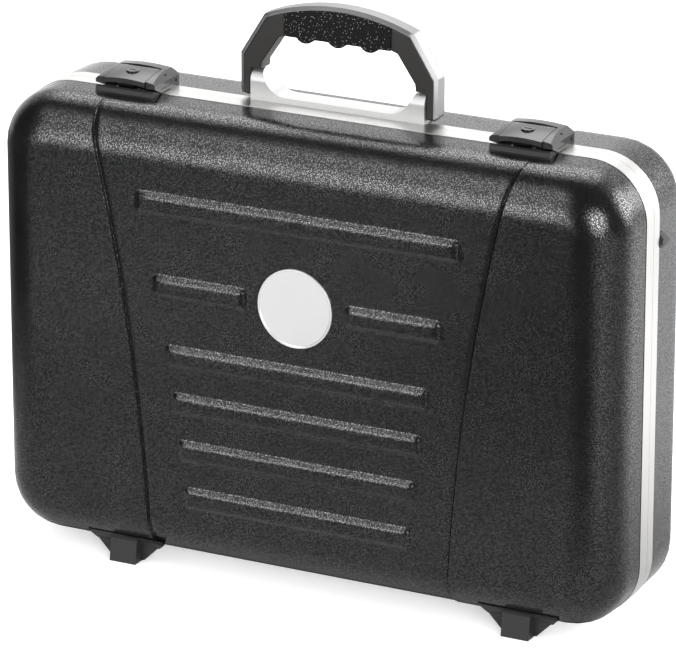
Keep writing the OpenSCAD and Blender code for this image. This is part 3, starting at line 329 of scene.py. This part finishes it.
def moulded_shell(name, edge, depth, round_r, draft, way, badge_row):
    """One shell, from its edge beside the frame forward (way -1) or back (way 1)."""
    draft = math.radians(draft)
    depth = depth - line_gap
    r = corner_r - shell_step
    cx, cz = case_w / 2 - corner_r, case_h / 2 - corner_r

    # A column is its side, how far it lies past the flat face, and its stretch and share on the face.
    # A row is its side, how far it lies past the flat face, and its height on the face.
    past = [k + f for k, n in enumerate(edge_points) for f in np.linspace(0, 1, n)[1:]] + [4, 5, 6]
    half = [(0, 0, 0)] + [(0, k, f) for k, n in enumerate(face_points) for f in np.linspace(0, 1, n)[1:]]
    half += [(e, 0, 0) for e in past]
    columns = [(-1, *column) for column in half[:0:-1]] + [(1, *column) for column in half]
    heights = sorted({round(z, 4) for middle in rib_rows + [badge_z] for side in (-1, 1)
                      for z in middle + side * (rib_h / 2 + near_rib)})
    heights = [-cz] + [z for z in heights if z > lowest_row] + upper_rows + [cz]
    heights = [z for k, z in enumerate(heights) if k == 0 or z - heights[k - 1] > least_space]
    rows = [(-1, e, 0) for e in past[::-1]] + [(1, 0, z) for z in heights] + [(1, e, 0) for e in past]
    nx, nz = len(columns), len(rows)

    bpy.ops.object.select_all(action="DESELECT")
    bpy.ops.mesh.primitive_grid_add(x_subdivisions=nx - 1, y_subdivisions=nz - 1, size=2)
    shell = bpy.context.object
    shell.name = name
    flat = np.empty(len(shell.data.vertices) * 3)
    shell.data.vertices.foreach_get("co", flat)
    flat = flat.reshape(-1, 3)
    i = np.rint((flat[:, 0] + 1) / 2 * (nx - 1)).astype(int)
    j = np.rint((flat[:, 1] + 1) / 2 * (nz - 1)).astype(int)
    side_x, past_x, stretch, share = np.array(columns, float)[i].T
    side_z, past_z, height = np.array(rows, float)[j].T
    q = np.maximum(past_x, past_z)
    turn = np.radians(np.where(past_x >= past_z, 45 * past_z / np.maximum(past_x, 1e-9),
                               90 - 45 * past_x / np.maximum(past_z, 1e-9)))

    def section(deep):
        """Reach from the corner's axis and depth from the open edge, for a form that is deep."""
        meet_y = deep - round_r * (1 - math.sin(draft))
        round_x = r - meet_y * math.tan(draft) - round_r * math.cos(draft)
        angle = np.clip(q - 1, 0, 1) * (math.pi / 2 - draft)
        along_wall = np.clip(q - 2, 0, 1) * meet_y
        reach = round_x * np.clip(q, 0, 1) + round_r * np.sin(angle) + along_wall * math.tan(draft)
        down = deep - round_r * (1 - np.cos(angle)) - along_wall
        # Past the wall: a small turn inward, then the tongue that sits in the frame's slot
        reach = reach - np.where(q > 3.5, tongue_set, 0)
        down = down - np.where(q > 5.5, tongue_reach, np.where(q > 4.5, tongue_shoulder, 0))
        return reach, down

    reach, down = section(depth)
    corner = (past_x > 0) & (past_z > 0)
    reach_z = np.where(corner, reach * np.sin(turn), np.where(past_z > 0, reach, 0))
    z = np.where(past_z > 0, side_z * (cz + reach_z), height)
    knots = [0, short_rib_start - rib_lead, short_rib_start + rib_slope, rib_half(z) - rib_slope,
             rib_half(z) + rib_lead, panel_half(z) - line_lead, panel_half(z) + line_lead, cx]
    on_face = sum(np.where(stretch == k, knots[k] + share * (knots[k + 1] - knots[k]), 0)
                  for k in range(len(face_points)))
    reach_x = np.where(corner, reach * np.cos(turn), np.where(past_x > 0, reach, 0))
    x = side_x * np.where(past_x > 0, cx + reach_x, on_face)

    # Inside its lines the panel lies deeper, with a fine groove along the line
    inside = panel_half(z) - np.abs(x)
    down_in = section(depth - panel_step)[1]
    down = down + soft_step(inside / step_run + 0.5) * (down_in - down)
    down = down - groove_depth * np.exp(-((inside - groove_inside) / groove_w) ** 2)
    ribs = [(middle, -rib_half(middle), rib_half(middle)) for middle in rib_rows]
    if badge_row:
        ribs += [(badge_z, -rib_half(badge_z), -short_rib_start),
                 (badge_z, short_rib_start, rib_half(badge_z))]
    for middle, x0, x1 in ribs:
        down = down + rib_height(x, z, middle, x0, x1) * (q == 0)

    y = seam_y + way * (edge + line_gap + down)
    places = np.stack([-way * x, y, middle_z + z], axis=1) * MM
    shell.data.vertices.foreach_set("co", places.ravel())
    shell.data.update()
    bpy.ops.object.modifier_add(type="SOLIDIFY")
    sheet = shell.modifiers[-1]
    sheet.thickness = wall * MM
    sheet.offset = -1
    sheet.use_even_offset = True
    bpy.ops.object.modifier_apply(modifier=sheet.name)
    bpy.ops.object.shade_smooth_by_angle(angle=math.radians(50))
    return shell


def new_look(name, metal=0.0, rough=None):
    """A material; returns it with its node tree, its shader and its object coordinates."""
    look = bpy.data.materials.new(name)
    look.use_nodes = True
    tree = look.node_tree
    shader = tree.nodes["Principled BSDF"]
    shader.inputs["Metallic"].default_value = metal
    if rough is not None:
        shader.inputs["Roughness"].default_value = rough
    return look, tree, shader, tree.nodes.new("ShaderNodeTexCoord").outputs["Object"]


def noise(tree, where, cell, detail=2):
    """Noise with features of about cell millimetres."""
    grain = tree.nodes.new("ShaderNodeTexNoise")
    grain.inputs["Scale"].default_value = 1 / (cell * MM)
    grain.inputs["Detail"].default_value = detail
    tree.links.new(where, grain.inputs["Vector"])
    return grain.outputs["Fac"]


def pebbles(tree, where, cell, randomness=1.0):
    """Distance from the middles of cells of about cell millimetres."""
    cells = tree.nodes.new("ShaderNodeTexVoronoi")
    cells.inputs["Scale"].default_value = 1 / (cell * MM)
    cells.inputs["Randomness"].default_value = randomness
    tree.links.new(where, cells.inputs["Vector"])
    return cells.outputs["Distance"]


def tint(tree, shader, value, dark, pale, start=0.3, end=0.7):
    """Base colour from dark to pale along a value."""
    tree.links.new(ramp(tree, value, [(start, dark), (end, pale)]), shader.inputs["Base Color"])


def roughen(tree, shader, value, low, high):
    """Roughness from low to high along a value."""
    tree.links.new(span(tree, value, low, high), shader.inputs["Roughness"])


def bump(tree, shader, height, depth, strength=1.0, under=None):
    """Relief of depth millimetres from a height between 0 and 1, over the relief under."""
    relief = tree.nodes.new("ShaderNodeBump")
    relief.inputs["Distance"].default_value = depth * MM
    relief.inputs["Strength"].default_value = strength
    tree.links.new(height, relief.inputs["Height"])
    if under:
        tree.links.new(under, relief.inputs["Normal"])
    tree.links.new(relief.outputs[0], shader.inputs["Normal"])
    return relief.outputs[0]


def dress(piece, look, body):
    """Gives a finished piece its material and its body."""
    piece.data.materials.clear()
    piece.data.materials.append(look)
    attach(piece, body)


shell_plastic, tree, shader, where = new_look("shell_plastic")
cloud = noise(tree, where, cell=30, detail=4)
tint(tree, shader, cloud, (0.0035, 0.0035, 0.0036), (0.006, 0.006, 0.0062))
pebble = soft_span(tree, pebbles(tree, where, cell=1.0), 1, 0, 0, 0.65)
shader.inputs["IOR"].default_value = 1.6
tree.links.new(span(tree, pebble, 0.13, 0.8, 0.1, 0.8), shader.inputs["Specular IOR Level"])
crease = noise(tree, where, cell=0.9, detail=1)
roughen(tree, shader, crease, 0.16, 0.24)
under = bump(tree, shader, pebble, depth=0.035)
bump(tree, shader, crease, depth=0.02, under=under)

front_shell = moulded_shell("front_shell_sheet", front_edge, front_depth, front_round, front_draft,
                            way=-1, badge_row=True)
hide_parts("front_shell")
dress(front_shell, shell_plastic, "lid")
rear_shell = moulded_shell("rear_shell_sheet", rear_edge, rear_depth, rear_round, rear_draft,
                           way=1, badge_row=False)
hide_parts("rear_shell")
dress(rear_shell, shell_plastic, "base")


# The frame: two rings of extruded aluminium profile, satin anodised, which meet in a fine seam.
# Each is bent round the corners from one length, and its slot holds the tongue of its shell.
def solid_copy(name, node, whole_faces=True):
    """A welded copy of a CAD node's solid, active and selected, with its flat faces made whole."""
    bpy.ops.object.select_all(action="DESELECT")
    piece = bpy.data.objects.new(name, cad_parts[node].data.copy())
    bpy.context.collection.objects.link(piece)
    bpy.context.view_layer.objects.active = piece
    piece.select_set(True)
    bpy.ops.object.mode_set(mode="EDIT")
    bpy.ops.mesh.select_all(action="SELECT")
    bpy.ops.mesh.remove_doubles(threshold=0.02 * MM)
    if whole_faces:
        bpy.ops.mesh.dissolve_limited(angle_limit=math.radians(0.6))
    bpy.ops.object.mode_set(mode="OBJECT")
    return piece


def break_edges(piece, width, angle=32, segments=2, held=True):
    """Rounds the edges sharper than angle by width, and shades the piece smooth between its edges.
    Held edges stay narrow where the mesh is fine."""
    bpy.ops.object.select_all(action="DESELECT")
    bpy.context.view_layer.objects.active = piece
    piece.select_set(True)
    bpy.ops.object.modifier_add(type="BEVEL")
    edges = piece.modifiers[-1]
    edges.width = width * MM
    edges.segments = segments
    edges.limit_method = "ANGLE"
    edges.angle_limit = math.radians(angle)
    edges.use_clamp_overlap = held
    bpy.ops.object.modifier_apply(modifier=edges.name)
    bpy.ops.object.shade_smooth_by_angle(angle=math.radians(40))
    bpy.ops.object.modifier_add(type="WEIGHTED_NORMAL")
    piece.modifiers[-1].keep_sharp = True
    bpy.ops.object.modifier_apply(modifier=piece.modifiers[-1].name)


def finish_node(node, look, body, width=0.3, angle=32, segments=2):
    """The real piece of a CAD node: its solid with broken edges and its own material."""
    piece = solid_copy(node + "_part", node)
    break_edges(piece, width, angle, segments)
    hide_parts(node)
    dress(piece, look, body)


frame_metal, tree, shader, where = new_look("frame_metal", metal=1.0)
tint(tree, shader, noise(tree, where, cell=60), (0.43, 0.425, 0.415), (0.47, 0.465, 0.455))
drawn = noise(tree, where, cell=0.5)
roughen(tree, shader, drawn, 0.27, 0.36)
bump(tree, shader, drawn, depth=0.004)
finish_node("rear_frame", frame_metal, "base", width=0.35)
finish_node("front_frame", frame_metal, "lid", width=0.35)


# The seal: a soft strip of black foam rubber, cut to one length.
# It is pressed into a slot of the front profile and meets the rear profile when the case is shut.
seal_rubber, tree, shader, where = new_look("seal_rubber", rough=0.7)
pores = noise(tree, where, cell=0.8, detail=3)
tint(tree, shader, pores, (0.012, 0.012, 0.012), (0.022, 0.022, 0.022))
bump(tree, shader, pores, depth=0.05)
finish_node("frame_seal", seal_rubber, "lid")


# The badge: a plain stamped disc of frosted white aluminium, glued into its seat on the front shell.
# A thin bright rim is turned round its edge, and the face inside it is very slightly domed.
rim_w, rim_slope, rim_drop, dome_w, dome_rise = 1.2, 0.3, 0.45, 4, 0.12
badge_metal, tree, shader, where = new_look("badge_metal", metal=0.55)
frost = noise(tree, where, cell=0.35)
tint(tree, shader, frost, (0.50, 0.50, 0.50), (0.56, 0.56, 0.56))
roughen(tree, shader, frost, 0.18, 0.26)
bump(tree, shader, frost, depth=0.01)
lo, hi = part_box("badge")
bpy.ops.object.select_all(action="DESELECT")
bpy.ops.mesh.primitive_circle_add(vertices=128, radius=(hi.x - lo.x) / 2, fill_type="NGON",
                                  rotation=(math.pi / 2, 0, 0),
                                  location=((lo.x + hi.x) / 2, hi.y, (lo.z + hi.z) / 2))
badge = bpy.context.object
badge.name = "badge_disc"
bpy.ops.object.transform_apply(location=True, rotation=True, scale=True)
bpy.ops.object.mode_set(mode="EDIT")
bpy.ops.mesh.select_all(action="SELECT")
bpy.ops.mesh.extrude_region_move(TRANSFORM_OT_translate={"value": (0, lo.y - hi.y, 0)})
bpy.ops.mesh.inset(thickness=rim_w * MM)
bpy.ops.mesh.inset(thickness=rim_slope * MM)
bpy.ops.transform.translate(value=(0, rim_drop * MM, 0))
bpy.ops.mesh.inset(thickness=dome_w * MM)
bpy.ops.transform.translate(value=(0, -dome_rise * MM, 0))
bpy.ops.mesh.select_all(action="SELECT")
bpy.ops.mesh.normals_make_consistent(inside=False)
bpy.ops.object.mode_set(mode="OBJECT")
break_edges(badge, 0.25, angle=50, segments=3)
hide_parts("badge")
dress(badge, badge_metal, "lid")


# The handle's bracket: one zinc casting with a horn at each end, painted in satin silver.
# It is screwed to the rear profile. The pins sit in blind bores, so the horns are plain outside.
bore_reach = 4
cast_metal, tree, shader, where = new_look("cast_metal", metal=0.9)
flake = noise(tree, where, cell=0.4)
tint(tree, shader, flake, (0.37, 0.37, 0.37), (0.42, 0.42, 0.415))
roughen(tree, shader, flake, 0.42, 0.52)
bump(tree, shader, flake, depth=0.008)
bracket = solid_copy("handle_bracket_part", "handle_bracket", whole_faces=False)
lo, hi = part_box("handle_pins")
pin_y, pin_z = (lo.y + hi.y) / 2, (lo.z + hi.z) / 2
bpy.ops.object.mode_set(mode="EDIT")
bpy.ops.mesh.select_mode(type="FACE")
bpy.ops.mesh.select_all(action="DESELECT")
shape = bmesh.from_edit_mesh(bracket.data)
for face in shape.faces:
    middle = face.calc_center_median()
    from_pin = math.hypot(middle.y - pin_y, middle.z - pin_z)
    face.select = abs(face.normal.x) < 0.3 and from_pin < bore_reach * MM
bmesh.update_edit_mesh(bracket.data)
bpy.ops.mesh.delete(type="FACE")
bpy.ops.mesh.select_all(action="SELECT")
bpy.ops.mesh.fill_holes(sides=200)
bpy.ops.mesh.select_all(action="SELECT")
bpy.ops.mesh.dissolve_limited(angle_limit=math.radians(0.6))
bpy.ops.object.mode_set(mode="OBJECT")
break_edges(bracket, 0.6, angle=34, segments=3)
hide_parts("handle_bracket")
dress(bracket, cast_metal, "base")


# The handle's core: black moulded plastic with a fine leather grain and well rounded edges.
# Its two legs reach down between the horns of the bracket, and it carries the cover and the grip.
handle_plastic, tree, shader, where = new_look("handle_plastic")
fine = noise(tree, where, cell=0.55, detail=3)
tint(tree, shader, fine, (0.009, 0.0085, 0.008), (0.020, 0.019, 0.018))
roughen(tree, shader, fine, 0.3, 0.42)
shader.inputs["Specular IOR Level"].default_value = 0.25
bump(tree, shader, fine, depth=0.09, strength=0.8)
core = solid_copy("handle_core_part", "handle_core", whole_faces=False)
break_edges(core, 1.0, angle=50, segments=3, held=False)
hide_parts("handle_core")
dress(core, handle_plastic, "handle")


# The handle's cover: a silver shield over the outer side of the core, cast and brushed.
# A wide bevel runs along its outer edges, on the front and on the back.
bevel_w, outer_side = 2.1, 4
cover_metal, tree, shader, where = new_look("cover_metal", metal=1.0)
brushed = noise(tree, where, cell=0.5)
tint(tree, shader, brushed, (0.20, 0.20, 0.203), (0.24, 0.24, 0.24))
roughen(tree, shader, brushed, 0.46, 0.56)
bump(tree, shader, brushed, depth=0.006)
cover = solid_copy("handle_cover_part", "handle_cover", whole_faces=False)
lo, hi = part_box("handle_cover")
middle = Vector(((lo.x + hi.x) / 2, (lo.y + hi.y) / 2, lo.z + 20 * MM))
bpy.ops.object.mode_set(mode="EDIT")
bpy.ops.mesh.select_mode(type="EDGE")
bpy.ops.mesh.select_all(action="DESELECT")
shape = bmesh.from_edit_mesh(cover.data)
for edge in shape.edges:
    if len(edge.link_faces) == 2:
        flat, side = sorted(edge.link_faces, key=lambda face: -abs(face.normal.y))
        outward = side.normal.dot((edge.verts[0].co + edge.verts[1].co) / 2 - middle)
        square = abs(flat.normal.y) > 0.99 and abs(side.normal.y) < 0.3
        edge.select = square and outward > outer_side * MM
bmesh.update_edit_mesh(cover.data)
bpy.ops.mesh.bevel(offset=bevel_w * MM, segments=1, clamp_overlap=False)
bpy.ops.object.mode_set(mode="OBJECT")
break_edges(cover, 0.12, angle=30, segments=1)
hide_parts("handle_cover")
dress(cover, cover_metal, "handle")


# The grip: black rubber moulded round the core, with hollows for four fingers.
# Fine pale dots stand slightly proud of its rubbed skin.
grip_rubber, tree, shader, where = new_look("grip_rubber", rough=0.6)
shader.inputs["Specular IOR Level"].default_value = 0.12
dot = span(tree, pebbles(tree, where, cell=1.5, randomness=0.75), 1, 0, 0.14, 0.32)
tint(tree, shader, dot, (0.004, 0.004, 0.004), (0.22, 0.22, 0.22), start=0.35, end=0.8)
under = bump(tree, shader, dot, depth=0.15)
bump(tree, shader, noise(tree, where, cell=0.7, detail=3), depth=0.05, strength=0.8, under=under)
finish_node("handle_grip", grip_rubber, "handle", width=1.3, angle=40, segments=3)


# The washers: thin discs of dark plastic between the handle's legs and the horns.
# They keep the handle from rattling and from rubbing on the paint.
washer_plastic, tree, shader, where = new_look("washer_plastic", rough=0.5)
tint(tree, shader, noise(tree, where, cell=1.5), (0.03, 0.03, 0.03), (0.05, 0.05, 0.05))
finish_node("handle_washers", washer_plastic, "base", width=0.08)


# The handle's pins and the bracket's screws: turned steel, bright plated.
# The pins are pressed into the horns, and the screws come from below through the profile.
fastener_steel, tree, shader, where = new_look("fastener_steel", metal=1.0)
turned = noise(tree, where, cell=0.6)
tint(tree, shader, turned, (0.46, 0.46, 0.47), (0.58, 0.58, 0.58))
roughen(tree, shader, turned, 0.24, 0.38)
finish_node("handle_pins", fastener_steel, "base", width=0.25)
finish_node("bracket_screws", fastener_steel, "base", width=0.35)


# The latches: black plastic with a satin gloss. A moulded housing with two cheeks is screwed to the
# rear profile and carries a crowned lever, which swings up on a pin of blackened steel.
# A claw of the same steel is fixed under the lever, and a leaf spring holds the lever shut.
latch_plastic, tree, shader, where = new_look("latch_plastic")
shader.inputs["Specular IOR Level"].default_value = 0.36
sheen = noise(tree, where, cell=8, detail=3)
tint(tree, shader, sheen, (0.010, 0.010, 0.0105), (0.016, 0.016, 0.0165))
skin = noise(tree, where, cell=0.45)
roughen(tree, shader, skin, 0.17, 0.27)
bump(tree, shader, skin, depth=0.012)
blackened_steel, tree, shader, where = new_look("blackened_steel", metal=1.0, rough=0.4)
tint(tree, shader, noise(tree, where, cell=0.8), (0.015, 0.015, 0.016), (0.03, 0.03, 0.03))
for side in ("left", "right"):
    lever_body = "lever_" + side
    finish_node("latch_housing_" + side, latch_plastic, "base", 0.4, 34, 3)
    finish_node("latch_lever_" + side, latch_plastic, lever_body, 0.4, 34, 3)
    finish_node("latch_claw_" + side, blackened_steel, lever_body, 0.2)
finish_node("lever_pins", blackened_steel, "base", width=0.2)
finish_node("lever_springs", fastener_steel, "base", width=0.06)
finish_node("latch_screws", fastener_steel, "base", width=0.3)


# The locks: a key cylinder of dark plated metal turns in each lever.
# The cam on its lower end goes under a ledge of the housing, so that the lever can't be lifted.
lock_metal, tree, shader, where = new_look("lock_metal", metal=1.0, rough=0.25)
tint(tree, shader, noise(tree, where, cell=1.2), (0.022, 0.022, 0.023), (0.04, 0.04, 0.04))
for side in ("left", "right"):
    finish_node("key_cylinder_" + side, lock_metal, "key_" + side, width=0.25)
    finish_node("lock_cam_" + side, lock_metal, "key_" + side, width=0.2)


# The catches: grained black plastic blocks on the upper wall of the front shell.
# Each is held by steel rivets and has a steel bar across it for the claw to pull on.
fitting_plastic, tree, shader, where = new_look("fitting_plastic")
shader.inputs["Specular IOR Level"].default_value = 0.25
grit = noise(tree, where, cell=0.6, detail=3)
tint(tree, shader, grit, (0.010, 0.010, 0.010), (0.019, 0.019, 0.019))
roughen(tree, shader, grit, 0.38, 0.52)
bump(tree, shader, grit, depth=0.05, strength=0.8)
for side in ("left", "right"):
    finish_node("catch_" + side, fitting_plastic, "lid", 0.45, 34, 3)
finish_node("catch_bars", fastener_steel, "lid", width=0.25)
finish_node("catch_rivets", fastener_steel, "lid", width=0.35)


# The hinges under the frame: leaves of zinc-plated steel sheet, rolled round a steel pin.
# Rivets hold one leaf to each of the two profiles.
hinge_steel, tree, shader, where = new_look("hinge_steel", metal=1.0)
zinc = noise(tree, where, cell=5, detail=3)
tint(tree, shader, zinc, (0.48, 0.48, 0.49), (0.60, 0.60, 0.59))
roughen(tree, shader, zinc, 0.28, 0.44)
for side in ("left", "right"):
    finish_node("hinge_leaf_rear_" + side, hinge_steel, "base", width=0.2)
    finish_node("hinge_leaf_front_" + side, hinge_steel, "lid", width=0.2)
finish_node("hinge_pins", fastener_steel, "base", width=0.3)
finish_node("hinge_rivets_rear", fastener_steel, "base", width=0.35)
finish_node("hinge_rivets_front", fastener_steel, "lid", width=0.35)


# The stays inside the case: stamped plates screwed to both shells, each with a stud for a flat link.
# The two links of a side meet in a rivet, and fold out as the lid opens.
for side in ("left", "right"):
    finish_node("stay_mount_rear_" + side, hinge_steel, "base", width=0.25)
    finish_node("stay_mount_front_" + side, hinge_steel, "lid", width=0.25)
    finish_node("stay_link_rear_" + side, hinge_steel, "rear_link_" + side, width=0.25)
    finish_node("stay_link_front_" + side, hinge_steel, "front_link_" + side, width=0.25)
    finish_node("stay_joint_" + side, fastener_steel, "rear_link_" + side, width=0.3)
finish_node("stay_screws_rear", fastener_steel, "base", width=0.3)
finish_node("stay_screws_front", fastener_steel, "lid", width=0.3)


# The feet: black plastic mouldings fixed to the lower edge of each shell, a block on a thin flange.
# The flange ends where the shell turns under, and thins out toward that edge.
cut_off, thin_depth, thin_run = 3.4, 2.9, 6
for node, body, way in (("foot_front_left", "lid", -1), ("foot_front_right", "lid", -1),
                        ("foot_rear_left", "base", 1), ("foot_rear_right", "base", 1)):
    foot = solid_copy(node + "_part", node, whole_faces=False)
    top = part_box(node)[1].z - cut_off * MM
    bpy.ops.object.mode_set(mode="EDIT")
    bpy.ops.mesh.select_all(action="SELECT")
    bpy.ops.mesh.bisect(plane_co=(0, 0, top), plane_no=(0, 0, 1), use_fill=True, clear_outer=True)
    shape = bmesh.from_edit_mesh(foot.data)
    inward = {}
    for face in shape.faces:
        if way * face.normal.y > 0.3:
            for corner in face.verts:
                inward[corner] = inward.get(corner, Vector()) - face.normal * face.calc_area()
    for corner, direction in inward.items():
        share = min(max((corner.co.z - top) / (thin_run * MM) + 1, 0), 1)
        corner.co += direction.normalized() * (thin_depth * MM * share)
    bmesh.update_edit_mesh(foot.data)
    bpy.ops.mesh.select_all(action="SELECT")
    bpy.ops.mesh.dissolve_limited(angle_limit=math.radians(0.6))
    bpy.ops.object.mode_set(mode="OBJECT")
    break_edges(foot, 0.5, angle=34)
    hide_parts(node)
    dress(foot, fitting_plastic, body)


# The strap lugs: small black mouldings on the sides of the rear shell, for a carrying strap.
# A blackened screw holds each of them.
finish_node("strap_lugs", fitting_plastic, "base", 0.4, 34, 3)
finish_node("lug_screws", blackened_steel, "base", width=0.3)
